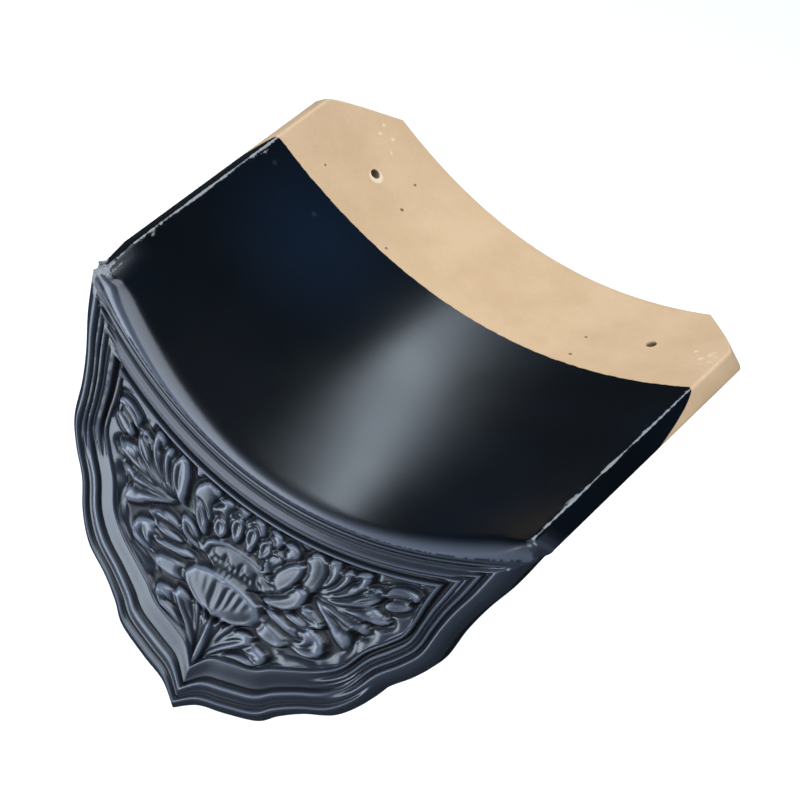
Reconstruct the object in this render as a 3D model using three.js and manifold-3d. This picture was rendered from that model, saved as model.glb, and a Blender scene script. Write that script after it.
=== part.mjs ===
// Drip tile for the eaves of a roof: a shallow pan with a moulded, pointed apron hanging from its front edge.
// Millimetres. X runs across the tile, Y from the front to the tail, Z up.
// The origin is on the flat bed under the middle of the pan, where the tile is laid on the roof.
import * as THREE from "three";
import { mergeVertices } from "three/addons/utils/BufferGeometryUtils.js";
import Module from "manifold-3d";

const { lerp, smoothstep } = THREE.MathUtils;
const sides = [-1, 1];

// Pan: sizes between the inner edges of its rims
const PAN_WIDTH = 220;
const TAIL_WIDENING = 0.024;
const PAN_LENGTH = 189;
const PAN_DEPTH = 40;
const PAN_THICK = 10.5;
const TAIL_BOW = 2.2;
const TAIL_SKEW = 3;
const RIM_FLARE = 0.4;
const BED_RISE = 0.25;
const BED_FROM_FRONT = 80;

// Cut tail corners and nail holes
const CUT_LENGTH = 32.5;
const CUT_SHARE = 0.78;
const CUT_CURVE = 1.2;
const NAIL_X = 77;
const NAIL_FROM_TAIL = 33.5;
const NAIL_DIAMETER = 5;
const NAIL_SIDES = 14;

// Apron: its front plane leans forward, so that it hangs plumb on a sloping roof
const APRON_LEAN = 22.5 * Math.PI / 180;
const APRON_SET_FORWARD = 3;
const APRON_THICK = 13;
const LIP_DROP = 9;
const EDGE_DROP = 3;
const EDGE_SHARE = 0.1;
const CORNER = [115, 6.5];
const FIELD_CORNER = [82, 41];
const LIP_MIDDLE = 44.5;
const FIELD_TOP_MIDDLE = 59.5;
const FIELD_LEVEL = -2.4;

// Scalloped side of the apron, from a top corner to the tip: its outline and the edge of the inner field
const SIDE_OUTLINE = [
  CORNER, [110.2, 24], [104, 40], [100, 54], [97.3, 69.5], [91.2, 81], [82.7, 92.5], [76.3, 106],
  [67.5, 117.7], [54.8, 126], [45.3, 134], [37.6, 142], [22.5, 148.5], [9.8, 153], [0, 161.2],
];
const SIDE_FIELD = [
  FIELD_CORNER, [81, 46.5], [80.5, 52], [80.3, 58], [79, 66], [74.5, 73], [67, 83], [61, 95],
  [52.5, 103], [42.5, 109.5], [33.5, 115], [26, 120.5], [15, 124.3], [6.5, 128], [0, 137],
];

// Border moulding: share of the way from the outline to the field, then heights over the front plane,
// at the top of the apron, where a deep groove runs around the field, and at the bottom, where it slopes
const MOULDING = [
  [0, 0, 0], [EDGE_SHARE, 0, 0], [0.22, 0.1, 0.1], [0.3, -1.7, -1.3], [0.38, 0.1, 0.3], [0.5, -0.9, -2],
  [0.6, 0.4, 0.5], [0.7, 0.4, 0.1], [0.8, -3.4, -0.9], [0.92, -1.3, -1.7], [1, FIELD_LEVEL, FIELD_LEVEL],
];
const GROOVE_ENDS = [62, 84];

// Fineness of the facets
const COLUMNS = 72;
const LIP_ROWS = 2;
const BACK_ROWS = 2;
const CUT_START = 1 - CUT_LENGTH / PAN_LENGTH;
const PAN_ROWS = [0, 0.4, CUT_START, lerp(CUT_START, 1, 0.35), lerp(CUT_START, 1, 0.7), 1];
const RELIEF_STEP = 2;
const RELIEF_EDGE = 2.6;
const RELIEF_SINK = 0.6;
const RELIEF_ROOT = 4;
const RELIEF_ROOM = 10;
const SMOOTHING = 0.08;
const WELD = 0.001;

// Pan section: a shallow arch turned upside down, level with the rims at height 0
const halfWidth = (y) => (PAN_WIDTH / 2) * (1 + TAIL_WIDENING * y / PAN_LENGTH);
const panHeight = (share) => -PAN_DEPTH * (1 - share * share);
const BED_HEIGHT = -PAN_DEPTH - PAN_THICK + BED_RISE;

function insidePoint(share, y) {
  return new THREE.Vector3(share * halfWidth(y), y, panHeight(share));
}

function undersidePoint(share, y) {
  const slope = 2 * PAN_DEPTH * share / halfWidth(y) * (1 + RIM_FLARE * share ** 8);
  const outward = new THREE.Vector3(slope, 0, -1).setLength(PAN_THICK);
  const point = insidePoint(share, y).add(outward);
  point.z = Math.max(point.z, BED_HEIGHT);
  return point;
}

// Apron plane: across, down along the slope, and height over the plane
function apronPoint([across, down], height) {
  return new THREE.Vector3(
    across,
    -APRON_SET_FORWARD - down * Math.sin(APRON_LEAN) - height * Math.cos(APRON_LEAN),
    -down * Math.cos(APRON_LEAN) + height * Math.sin(APRON_LEAN),
  );
}

// Where a level of the pan meets a plane parallel to the apron's front
function frontOfPan(z, height) {
  return -APRON_SET_FORWARD + z * Math.tan(APRON_LEAN) - height / Math.cos(APRON_LEAN);
}

// Tail edge, slightly bowed and cut a little askew
const tailAt = (share) => PAN_LENGTH + TAIL_BOW * (1 - share * share) - TAIL_SKEW * share;

function widthShare(run) {
  const past = Math.max(0, (run - CUT_START) / (1 - CUT_START));
  return lerp(1, CUT_SHARE, past ** CUT_CURVE);
}

// One surface of the pan as rows of points from the front to the tail
function panRows(surface, height) {
  return PAN_ROWS.map((run) => {
    const row = [];
    for (let i = 0; i <= COLUMNS; i += 1) {
      const share = 2 * i / COLUMNS - 1;
      const front = frontOfPan(surface(share, 0).z, height);
      const narrowed = share * widthShare(run);
      row.push(surface(narrowed, lerp(front, tailAt(share * CUT_SHARE), run)));
    }
    return row;
  });
}

// Lines across the apron from its left corner to its right corner
function archLine(corner, middle) {
  const line = [];
  for (let i = 0; i <= COLUMNS; i += 1) {
    const share = 2 * i / COLUMNS - 1;
    line.push([share * corner[0], lerp(middle, corner[1], share * share)]);
  }
  return line;
}

function scallopLine(points) {
  const curve = new THREE.SplineCurve(points.map(([x, down]) => new THREE.Vector2(x, down)));
  const line = [];
  for (let i = 0; i <= COLUMNS; i += 1) {
    const share = 2 * i / COLUMNS - 1;
    const point = curve.getPoint(1 - Math.abs(share));
    line.push([Math.sign(share) * point.x, point.y]);
  }
  return line;
}

const mix = (a, b, share) => [lerp(a[0], b[0], share), lerp(a[1], b[1], share)];

// Relief of the field: each petal, leaf or bud is a bent blade with a crowned surface
const blades = [];

function blade(from, to, { width, bend = 0, belly = 1, round = 0.6, rise = 3, cup = 0 }) {
  const axis = new THREE.Vector2(to[0] - from[0], to[1] - from[1]);
  const length = axis.length();
  blades.push({ from, along: axis.divideScalar(length), length, width, bend, belly, round, rise, cup });
}

function reliefHeight([x, down]) {
  let height = 0;
  for (const { from, along, length, width, bend, belly, round, rise, cup } of blades) {
    const dx = x - from[0];
    const dv = down - from[1];
    const run = (dx * along.x + dv * along.y) / length;
    if (run <= 0 || run >= 1) continue;
    const offset = dv * along.x - dx * along.y - 4 * bend * length * run * (1 - run);
    const half = width * Math.sin(Math.PI * run ** belly) ** round;
    const inside = half - Math.abs(offset);
    const cover = smoothstep(inside, -RELIEF_EDGE / 3, RELIEF_EDGE);
    if (cover === 0) continue;
    const crown = 1 - Math.min(1, (offset / half) ** 2);
    const form = rise * (0.35 + 0.65 * lerp(crown, 1 - crown, cup));
    height = lerp(height, form, cover);
  }
  return height;
}

// Peony: a fan of back petals, an inner row, side petals, the cupped heart and the broad front petal
function peony() {
  for (const side of sides) {
    blade([side * 18, 90], [side * 50, 81], { width: 6, bend: side * -0.1, belly: 1.6, round: 0.5, rise: 4 });
    blade([side * 14, 95], [side * 54, 95.5], { width: 8, belly: 1.5, round: 0.45, rise: 4.2 });
    blade([side * 13, 99], [side * 37, 105.5], { width: 5.5, belly: 1.3, round: 0.5, rise: 4.2 });
  }
  for (const [tip, top, width] of [[31, 58.5, 8], [18, 60.5, 7], [6, 60, 6.5]]) {
    for (const side of sides) {
      blade([side * tip * 0.35, 86], [side * tip, top], { width, belly: 1.6, round: 0.5, rise: 4 });
    }
  }
  for (const [tip, top] of [[27, 69], [14, 70.5], [0, 69]]) {
    for (const side of tip ? sides : [1]) {
      blade([side * tip * 0.4, 88], [side * tip, top], { width: 5.5, belly: 1.3, rise: 4.6 });
    }
  }
  for (const side of sides) {
    blade([side * 11, 91], [side * 37, 75], { width: 5.5, bend: side * 0.05, rise: 4.4 });
  }
  blade([-19, 84], [19, 84], { width: 8, round: 0.4, rise: 4.6, cup: 1 });
  blade([0, 111], [0, 91], { width: 20, belly: 1.2, round: 0.35, rise: 5.4 });
}

// Leaf sprays at the flower's sides, with a bud in each corner
function leafSpray(side) {
  const root = [side * 33, 75];
  const leaflets = [[41, 55, 4.2, 0.06], [56, 53, 5, 0.06], [71, 63.5, 5, -0.03], [60, 85, 5.5, -0.14]];
  for (const [x, down, width, bend] of leaflets) {
    blade(root, [side * x, down], { width, bend: side * bend, belly: 1.5, round: 0.6, rise: 3.6 });
  }
  blade([side * 64, 57], [side * 78, 49], { width: 4.2, round: 0.45, rise: 3.2 });
}

// Two leaves and a sheaf of stems rising from the lower point of the field
function lowerLeaves() {
  const root = [0, 136];
  for (const side of sides) {
    blade(root, [side * 30, 112], { width: 7.5, bend: side * -0.08, belly: 1.6, round: 0.5, rise: 3.8 });
  }
  blade(root, [0, 104], { width: 4.5, rise: 4.4 });
}

for (const side of sides) leafSpray(side);
lowerLeaves();
peony();

// Closed bodies from triangles gathered in patches of rows
const wasm = await Module();
wasm.setup();

function closedBody(geometry) {
  geometry.deleteAttribute("normal");
  geometry.deleteAttribute("uv");
  const merged = mergeVertices(geometry, WELD);
  return new wasm.Manifold(new wasm.Mesh({
    numProp: 3,
    vertProperties: new Float32Array(merged.attributes.position.array),
    triVerts: new Uint32Array(merged.index.array),
  }));
}

class Skin {
  corners = [];

  triangle(a, b, c) {
    const shortest = Math.min(a.distanceTo(b), b.distanceTo(c), c.distanceTo(a));
    if (shortest > WELD) this.corners.push(...a, ...b, ...c);
  }

  patch(rows, flipped = false) {
    for (let j = 0; j + 1 < rows.length; j += 1) {
      for (let i = 0; i + 1 < rows[j].length; i += 1) {
        const [a, b, c, d] = [rows[j][i], rows[j][i + 1], rows[j + 1][i + 1], rows[j + 1][i]];
        if (flipped) {
          this.triangle(a, c, b);
          this.triangle(a, d, c);
        } else {
          this.triangle(a, b, c);
          this.triangle(a, c, d);
        }
      }
    }
  }

  body() {
    const geometry = new THREE.BufferGeometry();
    geometry.setAttribute("position", new THREE.Float32BufferAttribute(this.corners, 3));
    return closedBody(geometry);
  }
}

// The outer edge is rounded off: fully along the scallops, and less along the lip between the corners
function edgeDrop(share, i, isLip) {
  const across = Math.abs(2 * i / COLUMNS - 1);
  const drop = isLip ? EDGE_DROP * across ** 4 : EDGE_DROP;
  return drop * Math.max(0, 1 - share / EDGE_SHARE) ** 2;
}

function borderRows(outer, inner, isLip) {
  return MOULDING.map(([share, top, bottom]) => outer.map((point, i) => {
    const place = mix(point, inner[i], share);
    const height = lerp(top, bottom, smoothstep(inner[i][1], ...GROOVE_ENDS) * (isLip ? 0 : 1));
    return apronPoint(place, height - edgeDrop(share, i, isLip));
  }));
}

// Lines of the apron
const lipLine = archLine(CORNER, LIP_MIDDLE);
const fieldTop = archLine(FIELD_CORNER, FIELD_TOP_MIDDLE);
const scallops = scallopLine(SIDE_OUTLINE);
const fieldBottom = scallopLine(SIDE_FIELD);
const fieldMiddle = fieldTop.map((point, i) => mix(point, fieldBottom[i], 0.5));

// Front of the apron: the moulded border and the sunk field
const skin = new Skin();
const lipBorder = borderRows(lipLine, fieldTop, true);
const sideBorder = borderRows(scallops, fieldBottom, false);
skin.patch(lipBorder, true);
skin.patch(sideBorder);
function fieldRows(height) {
  return [fieldTop, fieldMiddle, fieldBottom].map((line) => line.map((point) => apronPoint(point, height)));
}
skin.patch(fieldRows(FIELD_LEVEL), true);

// Pan, its underside and the rounded lip over which water runs on to the apron
const inside = panRows(insidePoint, -LIP_DROP);
const underside = panRows(undersidePoint, -APRON_THICK);
skin.patch(inside);
skin.patch(underside, true);
const lipRows = [];
for (let k = 0; k <= LIP_ROWS; k += 1) {
  lipRows.push(inside[0].map((start, i) => {
    const share = 2 * i / COLUMNS - 1;
    const edge = insidePoint(share, frontOfPan(panHeight(share), 0));
    const curve = new THREE.QuadraticBezierCurve3(start, edge, lipBorder[0][i]);
    if (k === 0) return start;
    return k === LIP_ROWS ? lipBorder[0][i] : curve.getPoint(k / LIP_ROWS);
  }));
}
skin.patch(lipRows, true);

// Back and edge of the apron
const backEdge = scallops.map((point, i) => {
  const atCorner = i === 0 || i === COLUMNS;
  return atCorner ? underside[0][i] : apronPoint(point, -APRON_THICK);
});
const backRows = [];
for (let j = 0; j <= BACK_ROWS; j += 1) {
  backRows.push(underside[0].map((point, i) => {
    if (j === 0) return point;
    return j === BACK_ROWS ? backEdge[i] : point.clone().lerp(backEdge[i], j / BACK_ROWS);
  }));
}
skin.patch(backRows);
skin.patch([sideBorder[0], backEdge], true);

// Rims, their front ends and the tail
for (const end of [0, COLUMNS]) {
  skin.patch([inside.map((row) => row[end]), underside.map((row) => row[end])], end !== 0);
  for (let k = 0; k < LIP_ROWS; k += 1) {
    const ends = [underside[0][end], lipRows[k][end], lipRows[k + 1][end]];
    skin.triangle(...(end === 0 ? ends.reverse() : ends));
  }
}
skin.patch([inside.at(-1), underside.at(-1)]);

// Relief: a carved block rooted in the apron, of which only the raised forms stand out of the field
function carvedBlock() {
  const [right, top] = FIELD_CORNER;
  const left = -right;
  const bottom = SIDE_FIELD.at(-1)[1];
  const columns = Math.round((right - left) / RELIEF_STEP);
  const rows = Math.round((bottom - top) / RELIEF_STEP);
  const grid = (height) => Array.from({ length: rows + 1 }, (_, j) => Array.from({ length: columns + 1 }, (_, i) => {
    const place = [lerp(left, right, i / columns), lerp(top, bottom, j / rows)];
    return apronPoint(place, FIELD_LEVEL + height(place));
  }));
  const face = grid((place) => reliefHeight(place) - RELIEF_SINK);
  const root = grid(() => -RELIEF_ROOT);
  const block = new Skin();
  block.patch(face, true);
  block.patch(root);
  block.patch([face[0], root[0]]);
  block.patch([face[rows], root[rows]], true);
  block.patch([face.map((row) => row[0]), root.map((row) => row[0])], true);
  block.patch([face.map((row) => row[columns]), root.map((row) => row[columns])]);
  return block.body().intersect(fieldPrism());
}

// The room over and under the field
function fieldPrism() {
  const over = fieldRows(FIELD_LEVEL + RELIEF_ROOM);
  const under = fieldRows(FIELD_LEVEL - RELIEF_ROOM);
  const prism = new Skin();
  prism.patch(over, true);
  prism.patch(under);
  prism.patch([over[0], under[0]]);
  prism.patch([over.at(-1), under.at(-1)], true);
  return prism.body();
}

// Nail hole through the pan, square to its surface
function nailHole(side) {
  const y = PAN_LENGTH - NAIL_FROM_TAIL;
  const share = NAIL_X / halfWidth(y);
  const slope = 2 * PAN_DEPTH * share / halfWidth(y);
  const hole = new THREE.CylinderGeometry(NAIL_DIAMETER / 2, NAIL_DIAMETER / 2, 4 * PAN_THICK, NAIL_SIDES);
  hole.rotateX(Math.PI / 2);
  hole.rotateY(-side * Math.atan(slope));
  hole.translate(side * NAIL_X, y, panHeight(share));
  return closedBody(hole);
}

const tileBody = skin.body().add(carvedBlock());
const body = sides.reduce((solid, side) => solid.subtract(nailHole(side)), tileBody).simplify(SMOOTHING);
const solidMesh = body.getMesh();
const geometry = new THREE.BufferGeometry();
geometry.setAttribute("position", new THREE.Float32BufferAttribute(solidMesh.vertProperties, solidMesh.numProp));
geometry.setIndex(new THREE.Uint32BufferAttribute(solidMesh.triVerts, 1));
geometry.computeVertexNormals();

const glaze = new THREE.MeshStandardMaterial({ color: "#1d2430", roughness: 0.28, metalness: 0 });
const tile = new THREE.Mesh(geometry, glaze);
tile.name = "drip_tile";
tile.position.set(0, -BED_FROM_FRONT, -BED_HEIGHT);

const dripTile = new THREE.Group();
dripTile.add(tile);

export default dripTile;
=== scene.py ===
# Drip tile for the eaves of a roof: a glazed pan with a bare clay tail and a moulded apron with a peony.
# Lengths are in millimetres until the mesh is made, with heights measured from the rims, then in metres.
import math

import bmesh
import bpy
import numpy as np
from mathutils import Matrix, Quaternion, Vector


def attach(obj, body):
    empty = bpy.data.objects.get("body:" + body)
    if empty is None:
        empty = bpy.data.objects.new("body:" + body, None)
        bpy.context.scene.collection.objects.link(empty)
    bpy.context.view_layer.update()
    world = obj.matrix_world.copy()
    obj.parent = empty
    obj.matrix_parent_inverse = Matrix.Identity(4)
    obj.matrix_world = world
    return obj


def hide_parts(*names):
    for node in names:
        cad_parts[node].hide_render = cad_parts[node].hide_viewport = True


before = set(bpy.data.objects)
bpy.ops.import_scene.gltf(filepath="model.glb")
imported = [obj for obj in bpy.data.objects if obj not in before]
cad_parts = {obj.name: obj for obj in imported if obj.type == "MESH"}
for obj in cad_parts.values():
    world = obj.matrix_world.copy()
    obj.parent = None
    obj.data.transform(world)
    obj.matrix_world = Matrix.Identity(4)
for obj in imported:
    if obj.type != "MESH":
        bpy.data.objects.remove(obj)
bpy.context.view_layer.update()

# Pan
MM = 0.001
WELD = 2e-6
PAN_WIDTH = 220.0
TAIL_WIDENING = 0.024
PAN_LENGTH = 189.0
PAN_DEPTH = 40.0
PAN_THICK = 10.5
TAIL_BOW = 2.2
TAIL_SKEW = 3.0
RIM_FLARE = 0.4
BED_RISE = 0.25
BED_FROM_FRONT = 80.0
BED_HEIGHT = -PAN_DEPTH - PAN_THICK + BED_RISE
CUT_LENGTH = 32.5
CUT_SHARE = 0.78
CUT_CURVE = 1.2
CUT_START = 1.0 - CUT_LENGTH / PAN_LENGTH
NAIL_X = 77.0
NAIL_FROM_TAIL = 33.5
NAIL_Y = PAN_LENGTH - NAIL_FROM_TAIL
NAIL_DIAMETER = 5.0
NAIL_SEGMENTS = 32
RIM_ROUND = 1.7
SHARP_ANGLE = math.radians(50)

# Apron
APRON_LEAN = math.radians(22.5)
APRON_SET_FORWARD = 3.0
APRON_THICK = 13.0
LIP_DROP = 9.0
LIP_END = 0.86
CORNER_DROP = 3.5
CORNER_BULGE = (2.0, -2.6, 2.4)
EDGE_DROP = 3.0
EDGE_SHARE = 0.2
BACK_ROUND = 0.06
CORNER = (115.0, 6.5)
FIELD_CORNER = (82.0, 41.0)
LIP_MIDDLE = 44.5
FIELD_TOP_MIDDLE = 59.5
FIELD_LEVEL = -2.4
FIELD_FADE = 0.02
SIDE_OUTLINE = (
    CORNER, (110.2, 24), (104, 40), (100, 54), (97.3, 69.5), (91.2, 81), (82.7, 92.5), (76.3, 106),
    (67.5, 117.7), (54.8, 126), (45.3, 134), (37.6, 142), (22.5, 148.5), (9.8, 153), (0, 161.2),
)
SIDE_FIELD = (
    FIELD_CORNER, (81, 46.5), (80.5, 52), (80.3, 58), (79, 66), (74.5, 73), (67, 83), (61, 95),
    (52.5, 103), (42.5, 109.5), (33.5, 115), (26, 120.5), (15, 124.3), (6.5, 128), (0, 137),
)

# Border mouldings: place between the outline and the field, and height there
LEFT_MOULDING = (
    (0, 0), (0.23, 0.5), (0.31, -1.4), (0.375, 0.5), (0.44, -1.5), (0.51, 0.6), (0.585, -1.3), (0.635, -0.1),
    (0.675, -0.7), (0.74, 0.6), (0.815, -4), (0.86, -4), (0.94, -0.5), (1, FIELD_LEVEL),
)
RIGHT_MOULDING = (
    (0, 0), (0.36, 0.6), (0.465, -1.7), (0.53, 0.4), (0.6, -1.2), (0.64, -0.5), (0.675, -0.9), (0.74, 0.6),
    (0.815, -4), (0.86, -4), (0.94, -0.5), (1, FIELD_LEVEL),
)
LOW_MOULDING = (
    (0, 0), (0.19, 0.6), (0.26, -1.4), (0.31, -0.4), (0.48, 0.3), (0.545, -2.6), (0.6, -1.6), (0.94, -0.9),
    (1, FIELD_LEVEL),
)
LIP_MOULDING = (
    (0, 0), (0.05, 0.3), (0.09, -0.4), (0.14, 0.3), (0.28, -1.9), (0.42, -1.6), (0.6, 0.5), (0.66, -0.5),
    (0.7, -0.4), (0.79, -3.6), (0.84, -3.6), (0.95, -0.8), (1, FIELD_LEVEL),
)
LEFT_ENDS = (60, 78)
RIGHT_ENDS = (84, 108)
LIP_JOIN = 0.9

# Wear and painted highlight: front corners rubbed light, the left one also rubbed down; light lines on the
# rims, partly rubbed glaze and partly painted highlight; and painted highlight on the left border's crest
# lines
SCUFF_START = 0.93
LEFT_SCUFF = 0.9
RIGHT_SCUFF = 0.55
FRONT_DIP = 4.0
INSIDE_WEAR_AND_HIGHLIGHT_START = 0.965
INSIDE_WEAR_AND_HIGHLIGHT = 0.72
RIM_LINE_ROW = 2.0
RIM_LINE_ROWS = 1.9
LINE_HIGHLIGHT = 0.86
LINE_HIGHLIGHT_CREST = (0.6, 0.85)

# How far the lip and the front corners stand out, which lightens their glaze as partly thin glaze and partly
# painted highlight, and where on the lip the apron's glaze begins
LIP_CREST = 0.78
CORNER_CREST = 0.6
LIP_GLAZE_START = 0.2

# Fineness of the mesh
COLUMNS = 240
PAN_ROWS = 12
CUT_ROWS = 12
LIP_ROWS = 12
BORDER_ROWS = 64
FIELD_ROWS = 150
BACK_ROWS = 10
RIM_ROWS = 12

# Relief: outline around each form, and the reach and range of what stands out of its surroundings
EDGE_BLEND = 0.6
OUTLINE_DEPTH = 1.4
OUTLINE_PLACE = 0.9
OUTLINE_HALF = 0.8
PETAL_RIM_PLACE = 1.0
PETAL_RIM_HALF = 0.7
FLATNESS = 0.72
SLOPE_STEP = 0.02
THINNEST_PETAL = 0.01
THINNEST_CUT = 0.05
CUT_TAPER = 0.6
FIELD_WAVE = 0.15
FIELD_WAVES = ((0.21, 0.33), (-0.26, 0.17))
DEEPEST = -1.5
SMOOTHING = 2
SURROUNDINGS = 24
STAND_RANGE = 2.2

# Glaze line: how far back the glaze reaches, its bow and tilt, and its slant down the rims
GLAZE_LINE = 127.3
GLAZE_BOW = 5.5
GLAZE_TILT = 1.5
GLAZE_SLANT = 1.9
GLAZE_SLANT_TILT = 0.5
GLAZE_RAGGED = 1.6
GLAZE_EDGE = (-0.15, 0.25)

# Small marks on the clay and the glaze: place across and from the front, and radius
CLAY_PITS = (
    (-58, 153, 0.9), (-49, 129, 0.7), (50, 134, 0.8), (49, 149, 0.7), (-92, 134, 0.6), (-63, 170, 0.7),
)
CLAY_CHIPS = (
    (106, 152, 1.8), (103, 148, 1.1), (108, 146, 1.4), (105, 143, 1.0), (109, 150, 1.2), (98, 154, 0.9),
    (-89, 174, 0.9), (-84, 178, 1.0), (-91, 179, 0.8), (-80, 172, 0.7), (-86, 169, 0.6),
)
CHIPPED_RING = ((-NAIL_X + 1.0, NAIL_Y - 0.6, 3.6),)
# Painted shade inside the nail holes, centred some way below the surface
HOLE_SHADES = ((-NAIL_X, NAIL_Y, 4.2), (NAIL_X, NAIL_Y, 4.2))
HOLE_SHADE_DEPTH = PAN_THICK * 0.4
GLAZE_BLISTERS = ((-104, 109.5, 1.2), (-79, 110, 1.2))
BLUE_PATCH = ((-72, 102, 34),)

# Colours
DEEP_GLAZE = (0.0008, 0.002, 0.0035, 1)
BLUE_GLAZE = (0.0022, 0.0068, 0.0155, 1)
BLISTER_GLAZE = (0.02, 0.03, 0.045, 1)
# Dark glaze in the apron's hollows: partly pooling, partly painted shade
POOLED_GLAZE_AND_SHADE = (0.0015, 0.0024, 0.0045, 1)
SLATE_GLAZE = (0.017, 0.022, 0.031, 1)
# Light glaze on the apron's crests, lip and front corners: partly thin glaze, partly painted highlight
THIN_GLAZE_AND_HIGHLIGHT = (0.11, 0.125, 0.155, 1)
# Light grey of rubbed glaze at the front corners, also used for the light rim lines, partly painted
# highlight, and for the painted highlight on the left border's crest lines
WORN_GLAZE_AND_HIGHLIGHT = (0.24, 0.24, 0.235, 1)
DARK_CLAY = (0.55, 0.36, 0.193, 1)
LIGHT_CLAY = (0.62, 0.415, 0.232, 1)
GRAIN_CLAY = (0.38, 0.235, 0.118, 1)
CHIPPED_CLAY = (0.8, 0.62, 0.42, 1)
# Brown of the clay's pits and dark seam, also used for the painted shade inside the nail holes
PIT_AND_HOLE_SHADE_BROWN = (0.1, 0.055, 0.025, 1)
FLOOR_WHITE = (0.9, 0.9, 0.9, 1)
SKY_TINT = (0.75, 0.88, 1, 1)

# Noises: scale in a metre, detail and roughness
CLOUD_NOISE = (16.0, 3.0, 0.5)
SHEEN_NOISE = (25.0, 3.0, 0.5)
CLAY_TONE_NOISE = (30.0, 5.0, 0.6)
UNDERSIDE_NOISE = (60.0, 4.0, 0.5)
FLECK_NOISE = (130.0, 7.0, 0.72)
GLAZE_LINE_NOISE = (260.0, 6.0, 0.6)
SPECKLE_NOISE = (900.0, 3.0, 0.7)

# How far the crests stand out where the glaze goes from dark to slate, the dark partly pooling and partly
# painted shade, and from slate to light, partly thin glaze and partly painted highlight
SLATE_CREST = (0.15, 0.5)
THIN_AND_HIGHLIT_CREST = (0.5, 0.95)
HOLLOW_CREST = (0.1, 0.45)

# How much the marks show, and how rough the surfaces are
WEAR_WEIGHT = 0.56
WEAR_RANGE = (0.92, 1.0)
CLOUD_SHARE = 0.35
BLISTER_SHARE = 0.5
CHIP_SHARE = 0.75
RIM_PALENESS = 0.3
SEAM_SHARE = 0.35
GRAIN_SHARE = 0.35
PIT_AND_HOLE_SHADE_SHARE = 0.85
GLAZE_ROUGHNESS = (0.2, 0.23)
HOLLOW_ROUGHNESS = 0.3
APRON_ROUGHNESS = 0.04
WORN_ROUGHNESS = 0.3
CLAY_ROUGHNESS = 0.9
GLAZE_IOR = 1.55
GLAZE_GRAIN = 0.06
GRAIN_STRENGTH = 0.35
GRAIN_DISTANCE = 0.6

# Camera: the photograph's place and lens, in metres and millimetres
CAMERA_PLACE = (0.3503, -0.7439, 0.7830)
CAMERA_FORWARD = (-0.30646, 0.65141, -0.69408)
CAMERA_UP = (-0.51812, 0.49754, 0.69571)
CAMERA_LENS = 115.6
CAMERA_SENSOR = 36.0
CAMERA_NEAR = 0.01

# Stage, in metres. Each light has its place, the point it faces, its size, power, tint and turn in degrees.
FLOOR_HEIGHT = -0.5
FLOOR_REACH = 6.0
FLOOR_ROUGHNESS = 0.9
SKY_STRENGTH = 0.04
LIGHTS = {
    "overhead": ((0.1, -0.45, 1.7), (0.1, -0.35, 0), (2.2, 2.2), 62, (0.88, 0.97, 1.12), 0),
    "strip": ((-0.34, 0.503, 0.554), (0.01, -0.04, 0.01), (0.36, 0.07), 0.78, (0.78, 0.89, 1.0), -16),
    "front": ((-0.51, -0.86, -0.17), (0, -0.13, -0.03), (0.5, 0.56), 6, (0.82, 0.93, 1.08), 0),
    "floor_wash": ((0, 0.6, -0.2), (0, 0.6, -0.5), (4.2, 4.2), 30, (1.0, 1.0, 1.0), 0),
}

# Columns run from the left to the right of the tile
SHARES = np.linspace(-1.0, 1.0, COLUMNS + 1)


def smoothstep(low, high, value):
    share = np.clip((value - low) / (high - low), 0.0, 1.0)
    return share * share * (3.0 - 2.0 * share)


def lerp(a, b, share):
    return a + (b - a) * share


def bump(place, middle, half):
    return np.exp(-(((place - middle) / half) ** 2))


# Pan

def half_width(y):
    return PAN_WIDTH / 2 * (1 + TAIL_WIDENING * y / PAN_LENGTH)


def pan_height(share):
    return -PAN_DEPTH * (1 - share * share)


def inside_points(share, y):
    return np.stack([share * half_width(y), y + 0 * share, pan_height(share) + 0 * y], -1)


def underside_points(share, y):
    slope = 2 * PAN_DEPTH * share / half_width(y) * (1 + RIM_FLARE * share**8)
    reach = PAN_THICK / np.sqrt(1 + slope * slope)
    points = inside_points(share, y)
    points[..., 0] += slope * reach
    points[..., 2] = np.maximum(points[..., 2] - reach, BED_HEIGHT)
    return points


def front_of_pan(z, height):
    return -APRON_SET_FORWARD + z * math.tan(APRON_LEAN) - height / math.cos(APRON_LEAN)


def tail_at(share):
    return PAN_LENGTH + TAIL_BOW * (1 - share * share) - TAIL_SKEW * share


def width_share(run):
    return lerp(1.0, CUT_SHARE, np.maximum(0.0, (run - CUT_START) / (1 - CUT_START)) ** CUT_CURVE)


def pan_surface(surface, height, shares, runs):
    """Points of the pan's inside or underside: one row for each run from the front to the tail."""
    share, run = np.meshgrid(shares, runs)
    front = front_of_pan(surface(share, np.zeros_like(share))[..., 2], height)
    return surface(share * width_share(run), lerp(front, tail_at(share * CUT_SHARE), run))


# Apron

def apron_points(across, down, height):
    return np.stack([
        across + 0 * height,
        -APRON_SET_FORWARD - down * math.sin(APRON_LEAN) - height * math.cos(APRON_LEAN),
        -down * math.cos(APRON_LEAN) + height * math.sin(APRON_LEAN),
    ], -1)


def arch_line(corner, middle):
    return SHARES * corner[0], lerp(middle, corner[1], SHARES * SHARES)


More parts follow.
